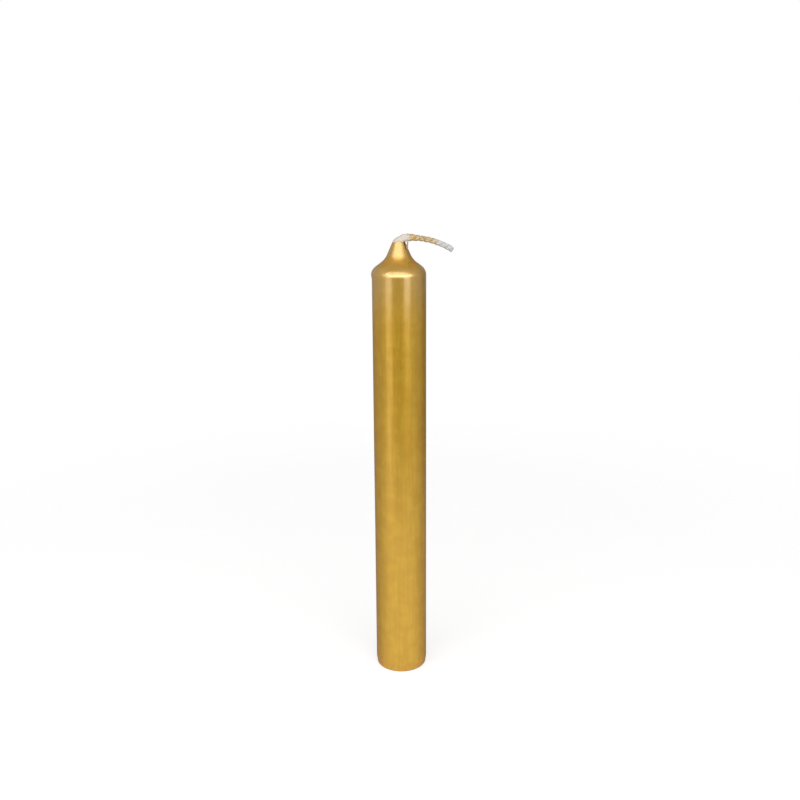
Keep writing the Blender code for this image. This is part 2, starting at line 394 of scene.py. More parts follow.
coat_wax = Surface("ochre_dip_wax")
coat_clouding = coat_wax.grain(2.5 * MM, 4.0)
coat_specks = coat_wax.grain(0.25 * MM, 2.0)
coat_shade = coat_wax.mixed(coat_clouding, OCHRE_WAX, BROWN_WAX)
coat_wax.look({
    "Base Color": coat_wax.mixed(coat_wax.ranged(coat_specks, 0.55, 0.7), coat_shade, BROWN_WAX_SPECK),
    "Roughness": coat_wax.ranged(coat_clouding, 0.3, 0.7, 0.35, 0.55),
    "Subsurface Weight": 0.15,
    "Subsurface Scale": 0.8 * MM,
})
coat_wax.relief([(coat_clouding, 0.08 * MM), (coat_specks, 0.02 * MM)])
dress_solid("colour_coat", coat_wax)

# The lacquer: a thin satin film of gold flakes that the whole candle is dipped in. It is chipped on the cone
# and the foot, torn at the neck where the wick was bent, and worn thin on the cone and round the foot.
BODY_RADIUS = 11.0 * MM
BODY_LENGTH = 175.7 * MM
FOOT_TAPER_HEIGHT = 3.3 * MM
FOOT_TAPER_DEPTH = 0.45 * MM
FOOT_EDGE_RADIUS = 0.8 * MM
SHOULDER_HEIGHT = 4.1 * MM
SHOULDER_RADIUS = 4.0 * MM
NECK_BASE_RADIUS = 5.6 * MM
NECK_HOLLOW_RADIUS = 7.0 * MM
TIP_RADIUS = 2.444 * MM
LACQUER_LIP = 0.6 * MM
LACQUER_THICKNESS = 0.15 * MM
LACQUER_CREASE = math.radians(38)
LARGEST_SETBACK = 0.49
ROUND_FACETS = 160
FILM_MERGE = 0.001 * MM
UNDERSIDE_SPACING = 2 * MM
UNDERSIDE_MARGIN = 0.01 * MM
END_SPACING = 0.6 * MM
HEAD_MARGIN = 4 * MM
FOOT_MARGIN = 2 * MM
DENT_SPACING = 0.8 * MM
DENT_MARGIN = 4 * MM
BODY_SPACING = 2.6 * MM
SAG_DEPTH = 0.035 * MM
SAG_WIDTH = 7 * MM
SAG_STRETCH = 6
PLAIN_EDGE = 0.5 * MM
CHIP_CORNERS = 7
CHIP_CORNER_SHIFT = 0.3
CHIP_SMALLEST = 0.75
CHIP_REACH = 1.5
FIRST_CHIP_SEED = 40

shoulder_top = BODY_LENGTH + SHOULDER_HEIGHT
film_profile = [
    ((0.0, 0.0), 0.0, 0),
    ((BODY_RADIUS - FOOT_TAPER_DEPTH, 0.0), FOOT_EDGE_RADIUS, 5),
    ((BODY_RADIUS, FOOT_TAPER_HEIGHT), 6 * MM, 4),
    ((BODY_RADIUS, BODY_LENGTH), SHOULDER_RADIUS, 8),
    ((NECK_BASE_RADIUS, shoulder_top), NECK_HOLLOW_RADIUS, 12),
    ((TIP_RADIUS, tip_height), 0.12 * MM, 3),
    ((TIP_RADIUS - LACQUER_LIP, tip_height), 0.0, 0),
]


def profile_wire(profile):
    """Half of the candle's outline as a wire, with each corner rounded to its radius."""
    form = bmesh.new()
    corners = [form.verts.new((radius, 0.0, height)) for (radius, height), _, _ in profile]
    for pair in zip(corners, corners[1:]):
        form.edges.new(pair)
    places = [corner.co.copy() for corner in corners]
    for index in range(1, len(profile) - 1):
        _, rounding, segments = profile[index]
        if rounding == 0:
            continue
        back = places[index - 1] - places[index]
        ahead = places[index + 1] - places[index]
        room = min(back.length, ahead.length) * LARGEST_SETBACK
        setback = min(rounding / math.tan(back.angle(ahead) / 2), room)
        bmesh.ops.bevel(
            form,
            geom=[corners[index]],
            offset=setback,
            offset_type="OFFSET",
            segments=segments,
            profile=0.5,
            affect="VERTICES",
            material=-1,
        )
    return form


def divide_long_edges(form, spacing_at):
    """Divides each edge of a wire until its pieces are no longer than the spacing wanted at its middle."""
    while True:
        long_edges = []
        for edge in form.edges:
            middle = (edge.verts[0].co + edge.verts[1].co) / 2
            if edge.calc_length() > spacing_at(middle):
                long_edges.append(edge)
        if not long_edges:
            return
        bmesh.ops.subdivide_edges(form, edges=long_edges, cuts=1)


def spun(form, facets):
    """Spins a wire round the candle's axis into a skin with its faces outwards."""
    geometry = form.verts[:] + form.edges[:]
    bmesh.ops.spin(
        form,
        geom=geometry,
        cent=(0.0, 0.0, 0.0),
        axis=(0.0, 0.0, 1.0),
        angle=math.tau,
        steps=facets,
        use_merge=True,
    )
    bmesh.ops.remove_doubles(form, verts=form.verts, dist=FILM_MERGE)
    bmesh.ops.recalc_face_normals(form, faces=form.faces)
    return form


def skin_place(azimuth, height, radius):
    """Place on the skin. The azimuth is in degrees from the front, positive towards the wick's side."""
    angle = math.radians(azimuth)
    return Vector((radius * math.sin(angle), -radius * math.cos(angle), height))


def swell(form, place, wide, tall, rise):
    """Raises or dents the skin round a place by up to a rise, fading out over its width and height."""
    outwards = Vector((place.x, place.y, 0.0)).normalized()
    sideways = outwards.cross(Vector((0.0, 0.0, 1.0)))
    for vert in form.verts:
        offset = vert.co - place
        if offset.dot(outwards) < -BODY_RADIUS / 2:
            continue
        far = math.hypot(offset.dot(sideways) / wide, offset.z / tall)
        if far < 1:
            vert.co += outwards * rise * (1 - far * far) ** 2


def chip(form, place, wide, tall, seed):
    """Breaks a ragged flake out of the film round a place."""
    dice = random.Random(seed)
    nearest = min(form.faces, key=lambda face: (face.calc_center_median() - place).length)
    outwards = nearest.normal.copy()
    upwards = (Vector((0.0, 0.0, 1.0)) - outwards * outwards.z).normalized()
    sideways = upwards.cross(outwards)
    reach = max(wide, tall) * CHIP_REACH
    cuts = []
    for corner in range(CHIP_CORNERS):
        shift = dice.uniform(-CHIP_CORNER_SHIFT, CHIP_CORNER_SHIFT)
        angle = math.tau * (corner + shift) / CHIP_CORNERS
        away = (sideways * math.cos(angle) / wide + upwards * math.sin(angle) / tall).normalized()
        distance = math.hypot(away.dot(sideways) * wide, away.dot(upwards) * tall) / 2
        cuts.append((place + away * distance * dice.uniform(CHIP_SMALLEST, 1.0), away))
    for point, away in cuts:
        near = [face for face in form.faces if (face.calc_center_median() - place).length < reach]
        edges = {edge for face in near for edge in face.edges}
        verts = {vert for face in near for vert in face.verts}
        bmesh.ops.bisect_plane(form, geom=near + list(edges) + list(verts), plane_co=point, plane_no=away)
    inside = []
    for face in form.faces:
        centre = face.calc_center_median()
        if (centre - place).length < reach and all((centre - point).dot(away) < 0 for point, away in cuts):
            inside.append(face)
    bmesh.ops.delete(form, geom=inside, context="FACES")


dent_place = skin_place(-7, 143.7 * MM, BODY_RADIUS)


def film_spacing(middle):
    """Spacing of the rings of verts on the film: fine on the head, the foot and the dent, else wide."""
    if middle.z <= UNDERSIDE_MARGIN:
        return UNDERSIDE_SPACING
    if middle.z > BODY_LENGTH - HEAD_MARGIN or middle.z < FOOT_TAPER_HEIGHT + FOOT_MARGIN:
        return END_SPACING
    if abs(middle.z - dent_place.z) < DENT_MARGIN:
        return DENT_SPACING
    return BODY_SPACING


film = profile_wire(film_profile)
divide_long_edges(film, film_spacing)
film = spun(film, ROUND_FACETS)

# Dipping leaves the film slightly uneven. There is a dent in the body, a blister and a low lump on the
# shoulder.
for vert in film.verts:
    outwards = Vector((vert.co.x, vert.co.y, 0.0))
    if outwards.length < PLAIN_EDGE or vert.co.z < PLAIN_EDGE:
        continue
    sag = noise.noise(Vector((vert.co.x, vert.co.y, vert.co.z / SAG_STRETCH)) / SAG_WIDTH)
    vert.co += outwards.normalized() * sag * SAG_DEPTH
film_swells = [
    (dent_place, 1.1 * MM, 2.0 * MM, -0.12 * MM),
    (skin_place(-28, 175.6 * MM, BODY_RADIUS), 0.9 * MM, 0.8 * MM, 0.22 * MM),
    (skin_place(-88, 174.5 * MM, BODY_RADIUS), 6.0 * MM, 3.2 * MM, 0.3 * MM),
]
for place, wide, tall, rise in film_swells:
    swell(film, place, wide, tall, rise)

film_chips = [
    (skin_place(38, 179.0 * MM, 6.6 * MM), 0.5 * MM, 0.5 * MM),
    (skin_place(58, 186.5 * MM, 2.7 * MM), 1.1 * MM, 1.3 * MM),
    (skin_place(54, 185.6 * MM, 3.0 * MM), 0.9 * MM, 1.6 * MM),
    (skin_place(52, 184.6 * MM, 3.45 * MM), 0.6 * MM, 1.3 * MM),
    (skin_place(-52, 5.2 * MM, 11.0 * MM), 0.5 * MM, 0.8 * MM),
    (skin_place(15, 0.5 * MM, 10.5 * MM), 1.1 * MM, 0.5 * MM),
    (skin_place(44, 5.0 * MM, 11.0 * MM), 0.35 * MM, 0.9 * MM),
]
for index, (place, wide, tall) in enumerate(film_chips):
    chip(film, place, wide, tall, FIRST_CHIP_SEED + index)
bmesh.ops.solidify(film, geom=film.faces[:], thickness=LACQUER_THICKNESS)

GOLD = srgb(219, 173, 48)
MOTTLED_GOLD = srgb(209, 160, 40)
STREAKED_GOLD = srgb(200, 151, 34)
GOLD_FLAKE = srgb(238, 206, 126)
THIN_GOLD = srgb(206, 132, 52)
GOLD_GLINT = srgb(160, 120, 76)
FOOT_WEAR = 0.5
FOOT_WEAR_HEIGHTS = (6.5 * MM, 1.0 * MM)
CONE_WEAR = 0.35
CONE_FOOT_HEIGHTS = (176 * MM, 178 * MM)
CONE_TOP_HEIGHTS = (182.5 * MM, 180 * MM)
BODY_CLEAR_FILM = 0.28
CONE_CLEAR_FILM = 0.45
CLEAR_FILM_HEIGHTS = (150 * MM, 176 * MM)

gold = Surface("satin_gold_lacquer")
flakes = gold.grain(0.12 * MM, 2.0)
mottling = gold.grain(5 * MM, 4.0, distortion=0.4)
pooling = gold.grain(1.4 * MM, 3.0)
streaks = gold.grain(1.1 * MM, 3.0, gold.stretched(along_z=22.0))
height = gold.coordinate("Z")
foot_wear = gold.ranged(height, *FOOT_WEAR_HEIGHTS, 0.0, FOOT_WEAR)
above_shoulder = gold.ranged(height, *CONE_FOOT_HEIGHTS)
below_neck = gold.ranged(height, *CONE_TOP_HEIGHTS)
cone = gold.combined("MULTIPLY", above_shoulder, below_neck)
cone_wear = gold.combined("MULTIPLY", cone, CONE_WEAR)
patchiness = gold.ranged(gold.grain(2.2 * MM, 4.0, distortion=0.8), 0.36, 0.66)
thin = gold.combined("MULTIPLY", gold.combined("MAXIMUM", foot_wear, cone_wear), patchiness)
tone = gold.mixed(gold.ranged(mottling, 0.3, 0.7), GOLD, MOTTLED_GOLD)
tone = gold.mixed(gold.ranged(streaks, 0.35, 0.75, 0.0, 0.6), tone, STREAKED_GOLD)
tone = gold.mixed(gold.ranged(flakes, 0.62, 0.72, 0.0, 0.25), tone, GOLD_FLAKE)
roughness = gold.ranged(pooling, 0.3, 0.7, 0.34, 0.39)
clear_film = gold.ranged(height, *CLEAR_FILM_HEIGHTS, BODY_CLEAR_FILM, 1.0)
cone_share = gold.ranged(cone, 0.0, 1.0, 1.0, CONE_CLEAR_FILM)
gold.look({
    "Base Color": gold.mixed(thin, tone, THIN_GOLD),
    "Metallic": gold.ranged(thin, 0.0, 1.0, 0.66, 0.5, smooth=False),
    "Roughness": gold.combined("ADD", roughness, gold.ranged(thin, 0.0, 1.0, 0.0, 0.1)),
    "Specular Tint": GOLD_GLINT,
    "Coat Weight": gold.combined("MULTIPLY", clear_film, cone_share),
    "Coat Roughness": 0.22,
    "Coat IOR": 2.3,
})
gold.relief([(streaks, 0.012 * MM), (pooling, 0.008 * MM), (flakes, 0.002 * MM)])
finished_piece("lacquer_film", film, gold, ["gold_lacquer"], LACQUER_CREASE)

# Wax that was drawn up round the wick when the candle was dipped. Bending the wick has cracked it white,
# and it closes the neck's mouth. It is one lump with the plies showing through it.
ROOT_RINGS = [
    ((-1.8, 185.6), (1.8, 185.6), 1.8),
    ((-2.15, 186.7), (2.15, 186.7), 2.1),
    ((-2.33, 187.1), (2.4, 186.85), 2.2),
    ((-2.2, 187.5), (2.65, 186.9), 2.2),
    ((-1.85, 187.85), (2.9, 186.92), 2.15),
    ((-1.1, 188.35), (3.2, 186.93), 2.1),
    ((-0.3, 188.85), (3.5, 186.94), 2.0),
    ((0.5, 189.3), (3.75, 186.96), 1.9),
    ((1.3, 189.7), (4.0, 187.0), 1.8),
    ((2.1, 189.93), (4.25, 187.05), 1.65),
    ((3.0, 190.03), (4.5, 187.1), 1.5),
    ((4.2, 190.0), (4.8, 187.15), 1.4),
]
ROOT_DRIPS = [
    ((-1.75, -1.55, 186.95), 0.7, 0.4),
    ((0.1, -2.25, 186.8), 0.4, 0.7),
    ((1.15, -1.95, 187.0), 0.5, 0.3),
]
ROOT_DRIP_DEPTH = 0.3
ROOT_SIDES = 28
ROOT_UNEVENNESS = 0.07 * MM
ROOT_UNEVENNESS_WIDTH = 1.1 * MM
ROOT_TUBES_START = 1.5 * MM
ROOT_TUBES_END = 5.0 * MM
ROOT_FILM = 0.08 * MM
ROOT_VOXEL = 0.11 * MM
ROOT_SMOOTHING = 5
ROOT_RIDGES = 0.02 * MM
ROOT_RIDGE_WIDTH = 0.5 * MM
FILLING_OFFSET = 0.22 * MM
CLEAR_WHITE_WAX = srgb(216, 210, 202)
CLOUDED_WHITE_WAX = srgb(204, 190, 174)
WHITE_WAX_FIBRE = srgb(190, 172, 150)


def joined_rings(form, rings, sides):
    """Bridges rings, given by the (x, z) of the left and the right side and the half depth in millimetres."""
    ring_edges = []
    for (left_x, left_z), (right_x, right_z), half_depth in rings:
        middle = Vector((left_x + right_x, 0.0, left_z + right_z)) * MM / 2
        turn = math.atan2(left_z - right_z, right_x - left_x)
        half_width = math.hypot(right_x - left_x, right_z - left_z) / 2
        place = Matrix.Translation(middle) @ Matrix.Rotation(turn, 4, "Y")
        place = place @ Matrix.Scale(half_depth / half_width, 4, (0.0, 1.0, 0.0))
        ring = bmesh.ops.create_circle(
            form, segments=sides, radius=half_width * MM, matrix=place, cap_ends=False
        )
        ring_edges.append({edge for vert in ring["verts"] for edge in vert.link_edges})
    for edges, next_edges in zip(ring_edges, ring_edges[1:]):
        bmesh.ops.bridge_loops(form, edges=list(edges | next_edges))
    bmesh.ops.holes_fill(form, edges=[edge for edge in form.edges if edge.is_boundary])
    bmesh.ops.recalc_face_normals(form, faces=form.faces)


def melted(forms, voxel, smoothing):
    """Melts closed forms into one skin on a grid of voxels, and smooths it."""
    mesh = bpy.data.meshes.new("melt")
    merged = bmesh.new()
    for form in forms:
        form.to_mesh(mesh)
        merged.from_mesh(mesh)
        form.free()
    merged.to_mesh(mesh)
    merged.free()
    carrier = bpy.data.objects.new("melt", mesh)
    bpy.context.scene.collection.objects.link(carrier)
    remesh = carrier.modifiers.new("melt", "REMESH")
    remesh.mode = "VOXEL"
    remesh.voxel_size = voxel
    result = bpy.data.meshes.new_from_object(carrier.evaluated_get(bpy.context.evaluated_depsgraph_get()))
    skin = bmesh.new()
    skin.from_mesh(result)
    for _ in range(smoothing):
        bmesh.ops.smooth_vert(
            skin, verts=skin.verts, factor=0.5, use_axis_x=True, use_axis_y=True, use_axis_z=True
        )
    skin.normal_update()
    bpy.data.objects.remove(carrier)
    bpy.data.meshes.remove(mesh)
    bpy.data.meshes.remove(result)
    return skin


def ply_tubes(start, end, diameter, filling=0.0):
    """The three plies as round tubes over a stretch of the wick, and two that fill the room between them."""
    curve = strand_curve("tubes", diameter)
    curve.bevel_resolution = 4
    distances = steps_between(start, end, SHOWN_STEP)
    for number in range(PLY_COUNT):
        points = [ply_place(number, distance) for distance in distances]
        add_strand(curve, points, [1.0] * len(points))
    if filling:
        for offset in (-FILLING_OFFSET, FILLING_OFFSET):
            places = [wick_place(distance) for distance in distances]
            points = [centre + side * offset for centre, side, _ in places]
            add_strand(curve, points, [filling / diameter] * len(points))
    return curve_form(curve)


root_lump = bmesh.new()
joined_rings(root_lump, ROOT_RINGS, ROOT_SIDES)
for vert in root_lump.verts:
    vert.co += vert.normal * noise.noise(vert.co / ROOT_UNEVENNESS_WIDTH) * ROOT_UNEVENNESS
for (drip_x, drip_y, drip_z), drip_width, drip_length in ROOT_DRIPS:
    drip_place = Matrix.Translation(Vector((drip_x, drip_y, drip_z)) * MM)
    drip_size = Matrix.Diagonal((drip_width * MM, ROOT_DRIP_DEPTH * MM, drip_length * MM, 1.0))
    bmesh.ops.create_icosphere(root_lump, subdivisions=3, radius=1.0, matrix=drip_place @ drip_size)
root_tubes = ply_tubes(wick_rise + ROOT_TUBES_START, wick_rise + ROOT_TUBES_END, PLY_DIAMETER + 2 * ROOT_FILM)
root_skin = melted([root_lump, root_tubes], ROOT_VOXEL, ROOT_SMOOTHING)
for vert in root_skin.verts:
    ridges = noise.noise(Vector((vert.co.x / 4, vert.co.y * 1.6, vert.co.z)) / ROOT_RIDGE_WIDTH)
    vert.co += vert.normal * ridges * ROOT_RIDGES

root_wax = Surface("cracked_white_wax")
root_fibres = root_wax.grain(0.16 * MM, 3.0, root_wax.stretched(along_x=4.0))
root_clouding = root_wax.grain(0.9 * MM, 3.0)
root_marks = root_wax.ranged(root_fibres, 0.5, 0.8, 0.0, 0.4)
root_tone = root_wax.mixed(root_clouding, CLEAR_WHITE_WAX, CLOUDED_WHITE_WAX)
root_wax.look({
    "Base Color": root_wax.mixed(root_marks, root_tone, WHITE_WAX_FIBRE),
    "Roughness": root_wax.ranged(root_fibres, 0.3, 0.7, 0.45, 0.75),
    "Specular IOR Level": 0.4,
})
root_wax.relief([(root_clouding, 0.02 * MM), (root_fibres, 0.006 * MM)])
finished_piece("wick_root_wax", root_skin, root_wax)

# The strip of lacquer that the bend has peeled off the neck on the wick's side. It is still held at its
# lower end, and shows the pale wax that came off with it.
PEEL_THICKNESS = 0.22 * MM
PEEL_CREASE = math.radians(50)
PEEL_LEAN = Vector((0.45, 0.9, 0.0)).normalized()
PEELED_WAX = srgb(222, 196, 178)
PEELED_GOLD = srgb(186, 150, 124)
PEEL_PLACES = [
    ((3.45, -1.2, 183.6), 0.8),
    ((3.55, -1.1, 184.3), 0.9),
    ((3.6, -0.95, 185.1), 0.9),
    ((3.55, -0.8, 185.9), 0.8),
    ((3.4, -0.6, 186.8), 0.6),
]

peel = bmesh.new()
start_place, start_width = PEEL_PLACES[0]
middle = Vector(start_place) * MM
half_strip = PEEL_LEAN * start_width * MM / 2
strip_edge = peel.edges.new([peel.verts.new(middle - half_strip), peel.verts.new(middle + half_strip)])
for place, width in PEEL_PLACES[1:]:
    grown = bmesh.ops.extrude_edge_only(peel, edges=[strip_edge])["geom"]
    strip_edge = next(item for item in grown if isinstance(item, bmesh.types.BMEdge))
    middle = Vector(place) * MM
    half_strip = PEEL_LEAN * width * MM / 2
    first, last = sorted(strip_edge.verts, key=lambda vert: vert.co.dot(PEEL_LEAN))
    first.co = middle - half_strip
    last.co = middle + half_strip
bmesh.ops.subdivide_edges(peel, edges=peel.edges[:], cuts=2, use_grid_fill=True, smooth=1.0)
bmesh.ops.recalc_face_normals(peel, faces=peel.faces)
bmesh.ops.solidify(peel, geom=peel.faces[:], thickness=PEEL_THICKNESS)

peel_wax = Surface("peeled_wax")
peel_clouding = peel_wax.grain(0.5 * MM, 3.0)
peel_wax.look({
    "Base Color": peel_wax.mixed(peel_clouding, PEELED_WAX, PEELED_GOLD),
    "Roughness": peel_wax.ranged(peel_clouding, 0.3, 0.7, 0.4, 0.6),
})
peel_wax.relief([(peel_clouding, 0.02 * MM)])
finished_piece("peeled_lacquer_strip", peel, peel_wax, sharp_angle=PEEL_CREASE)

# The lacquer that the dip left on the free wick. It clings to the plies as a sleeve, thick and smooth at
# its root, knobbly and cracked further on, and it has browned where it soaked into the cotton.
SLEEVE_START = 4.2 * MM
SLEEVE_END = free_length - BARE_END_LENGTH
SLEEVE_TUBES_BEFORE = 1.8 * MM
SLEEVE_TUBES_BEYOND = 2.4 * MM
SLEEVE_VOXEL = 0.09 * MM
SLEEVE_FILM = 0.17 * MM
SLEEVE_FILLING = 1.3 * MM
SLEEVE_SMOOTHING = 40
SLEEVE_SWELL = 0.15 * MM
SLEEVE_KNOBS = 0.05 * MM
SLEEVE_KNOB_LENGTH = 0.7 * MM
SLEEVE_KNOBS_AROUND = 1.2
SLEEVE_WALL = 0.08 * MM
ROOT_BEAD = 0.42 * MM
ROOT_BEAD_LENGTH = 4.8 * MM
ROOT_BEAD_LIFT = 0.12 * MM
SLEEVE_CRACKS = [(7.5 * MM, 0.1 * MM), (10.4 * MM, 0.1 * MM)]
CRACK_ON_SIDES = 0.55
CRACK_ON_TOP = 0.6
CRUMB_ROUNDS = 3
SLEEVE_RAGGEDNESS = 0.5 * MM
SLEEVE_JAG_LENGTH = 2 * MM
SLEEVE_SLANT = 0.5 * MM
STATION_STEP = 0.1 * MM
BROWNED_GOLD = srgb(204, 180, 140)
SOAKED_GOLD = srgb(180, 152, 110)
ROOT_GOLD = srgb(196, 164, 96)
ROOT_GOLD_REACH = (8.4 * MM, 6.4 * MM)
BROWN_FIBRE = srgb(146, 120, 82)
BARED_WAX = srgb(206, 194, 176)
PALE_ROOT_REACH = (5.4 * MM, 3.5 * MM)
PALE_END_REACH = (13.4 * MM, 15.4 * MM)
PALE_EDGE_CLOUDING = (-0.6 * MM, 0.6 * MM)

free_distances = steps_between(wick_rise, wick_rise + free_length, STATION_STEP)
wick_stations = [(distance, *wick_place(distance)) for distance in free_distances]


def place_on_wick(point):
    """Distance of a point along the free wick, and its angle round the wick."""
    distance, centre, side, along = min(wick_stations, key=lambda station: (station[1] - point).length)
    offset = point - centre
    angle = math.atan2(offset.dot(FRONT_TO_BACK), offset.dot(side))
    return distance - wick_rise + offset.dot(along), angle


tubes = ply_tubes(
    wick_rise + SLEEVE_START - SLEEVE_TUBES_BEFORE,
    wick_rise + SLEEVE_END + SLEEVE_TUBES_BEYOND,
    PLY_DIAMETER + 2 * SLEEVE_FILM,
    SLEEVE_FILLING,
)
sleeve = melted([tubes], SLEEVE_VOXEL, SLEEVE_SMOOTHING)
for vert in sleeve.verts:
    run, angle = place_on_wick(vert.co)
    fatness = max(1 - max(run - SLEEVE_START, 0.0) / ROOT_BEAD_LENGTH, 0.0)
    bead = ROOT_BEAD * fatness
    across = math.cos(angle) * SLEEVE_KNOBS_AROUND
    through = math.sin(angle) * SLEEVE_KNOBS_AROUND
    knobs = noise.noise(Vector((run / SLEEVE_KNOB_LENGTH, across, through)))
    vert.co += vert.normal * (SLEEVE_SWELL + bead + knobs * SLEEVE_KNOBS)
    vert.co.z += ROOT_BEAD_LIFT * fatness

# The film ends raggedly at both sides. Its cracks gape on top of the wick and close below it.
cast_off = []
for face in sleeve.faces:
    run, angle = place_on_wick(face.calc_center_median())
    around = Vector((math.cos(angle), math.sin(angle), run / SLEEVE_JAG_LENGTH))
    jag = SLEEVE_RAGGEDNESS * noise.noise(around * 2)
    last = SLEEVE_END + jag + SLEEVE_SLANT * math.cos(angle)
    outside = run < SLEEVE_START + jag * 0.5 or run > last
    for crack, width in SLEEVE_CRACKS:
        opening = width * (CRACK_ON_SIDES + CRACK_ON_TOP * math.cos(angle - math.pi))
        outside = outside or abs(run - crack + jag * 0.5) < opening
    if outside:
        cast_off.append(face)
bmesh.ops.delete(sleeve, geom=cast_off, context="FACES")
for _ in range(CRUMB_ROUNDS):
    crumbs = [face for face in sleeve.faces if sum(edge.is_boundary for edge in face.edges) > 2]
    bmesh.ops.delete(sleeve, geom=crumbs, context="FACES")

worn = Surface("browned_gold_lacquer")
soaking = worn.grain(0.9 * MM, 3.0, distortion=0.5)
worn_fibres = worn.grain(0.14 * MM, 3.0, worn.stretched(along_x=3.0))
worn_marks = worn.ranged(worn_fibres, 0.55, 0.8, 0.0, 0.4)
root_share = worn.ranged(worn.coordinate("X"), *ROOT_GOLD_REACH, 0.0, 0.75)
worn_tone = worn.mixed(worn.ranged(soaking, 0.35, 0.65), BROWNED_GOLD, SOAKED_GOLD)
worn_tone = worn.mixed(root_share, worn_tone, ROOT_GOLD)
worn_tone = worn.mixed(worn_marks, worn_tone, BROWN_FIBRE)
cloudy_edge = worn.ranged(soaking, 0.2, 0.8, *PALE_EDGE_CLOUDING, smooth=False)
reach = worn.combined("ADD", worn.coordinate("X"), cloudy_edge)
pale_root = worn.ranged(reach, *PALE_ROOT_REACH)
pale_end = worn.ranged(reach, *PALE_END_REACH, 0.0, 0.8)
pale = worn.combined("MAXIMUM", pale_root, pale_end)
worn.look({
    "Base Color": worn.mixed(pale, worn_tone, BARED_WAX),
    "Metallic": worn.ranged(soaking, 0.3, 0.7, 0.35, 0.15),
    "Roughness": worn.ranged(worn_fibres, 0.3, 0.7, 0.38, 0.6),
    "Coat Weight": 0.1,
    "Coat Roughness": 0.4,
})
worn.relief([(soaking, 0.02 * MM), (worn_fibres, 0.005 * MM)])
finished_piece("wick_lacquer_film", sleeve, worn, ["wick_lacquer_sleeve"], wall=SLEEVE_WALL)

# The wax that has soaked into the bare end of the wick. It fills the grooves between the yarns, so that the
# end looks like one smooth pale strand, blunt and rounded where it was cut.
END_WAX_FILM = 0.18 * MM
END_WAX_FILLING = 1.55 * MM
END_WAX_SMOOTHING = 55
END_WAX_SWELL = 0.1 * MM
END_WAX_UNDER_SLEEVE = 1.5 * MM
WAXED_COTTON = srgb(200, 200, 199)
GREYED_COTTON = srgb(188, 188, 186)
WAXED_FIBRE = srgb(170, 168, 163)

wick_end = wick_rise + free_length
end_wax_start = wick_end - BARE_END_LENGTH - END_WAX_UNDER_SLEEVE
end_tubes = ply_tubes(end_wax_start, wick_end, PLY_DIAMETER + 2 * END_WAX_FILM, END_WAX_FILLING)
end_wax = melted([end_tubes], SLEEVE_VOXEL, END_WAX_SMOOTHING)
for vert in end_wax.verts:
    vert.co += vert.normal * END_WAX_SWELL

waxed = Surface("waxed_cotton")
end_clouding = waxed.grain(0.9 * MM, 3.0)
end_fibres = waxed.grain(0.12 * MM, 3.0, waxed.stretched(along_x=4.0))
end_marks = waxed.ranged(end_fibres, 0.5, 0.8, 0.0, 0.25)
end_tone = waxed.mixed(waxed.ranged(end_clouding, 0.3, 0.7), WAXED_COTTON, GREYED_COTTON)
waxed.look({
    "Base Color": waxed.mixed(end_marks, end_tone, WAXED_FIBRE),
    "Roughness": waxed.ranged(end_clouding, 0.3, 0.7, 0.5, 0.65),
})
waxed.relief([(end_clouding, 0.01 * MM), (end_fibres, 0.002 * MM)])
finished_piece("wick_end_wax", end_wax, waxed)

# The table: a white painted disc that runs out into the white of the room and keeps the candle's soft
# shadow. For mirrored rays it glows bright in front of the candle and dim beside and behind it, a painted
# reflection that shades the sides of the lacquer.
TABLE_RADIUS = 900 * MM
TABLE_SIDES = 96
TABLE_FADE = (140 * MM, 400 * MM)
TABLE_PAINT = (0.42, 0.42, 0.42, 1.0)
TABLE_GLOW = 0.675
PAINTED_MIRROR_GLOW = (0.2, 0.57)

table_form = bmesh.new()
bmesh.ops.create_circle(table_form, cap_ends=True, segments=TABLE_SIDES, radius=TABLE_RADIUS)
table_mesh = bpy.data.meshes.new("table")
table_form.to_mesh(table_mesh)
table_form.free()
table = bpy.data.objects.new("table", table_mesh)
bpy.context.scene.collection.objects.link(table)
table_white = bpy.data.materials.new("table_white")
table_white.use_nodes = True
table_look = Wiring(table_white.node_tree, "Object")
table_look.tree.nodes.remove(table_look.tree.nodes["Principled BSDF"])
rays = table_look.node("ShaderNodeLightPath").outputs
mirrored = table_look.combined("MAXIMUM", rays["Is Glossy Ray"], rays["Is Transmission Ray"])
from_centre = {0: table_look.places}
way_out = table_look.node("ShaderNodeVectorMath", from_centre, operation="NORMALIZE").outputs["Vector"]
# Painted reflection: mirrored rays see the table glow brighter in front of the candle than beside and behind
# it.
painted_front_glow = table_look.ranged(table_look.coordinate("Y", way_out), 0.25, -0.8, *PAINTED_MIRROR_GLOW)
seen_glow = table_look.combined("MULTIPLY", rays["Is Camera Ray"], TABLE_GLOW)
glow_level = table_look.combined("ADD", table_look.combined("MULTIPLY", mirrored, painted_front_glow), seen_glow)
paint = table_look.node("ShaderNodeBsdfDiffuse", {"Color": TABLE_PAINT})
glow = table_look.node("ShaderNodeEmission", {"Strength": glow_level})
painted = table_look.node("ShaderNodeAddShader", {0: paint.outputs["BSDF"], 1: glow.outputs["Emission"]})
away = table_look.node("ShaderNodeVectorMath", from_centre, operation="LENGTH").outputs["Value"]
see_through = table_look.node("ShaderNodeBsdfTransparent")
shaders = {1: painted.outputs["Shader"], 2: see_through.outputs["BSDF"]}
faded = table_look.node("ShaderNodeMixShader", {"Fac": table_look.ranged(away, *TABLE_FADE), **shaders})
table_look.fill(table_look.tree.nodes["Material Output"], {"Surface": faded.outputs["Shader"]})
table_mesh.materials.append(table_white)

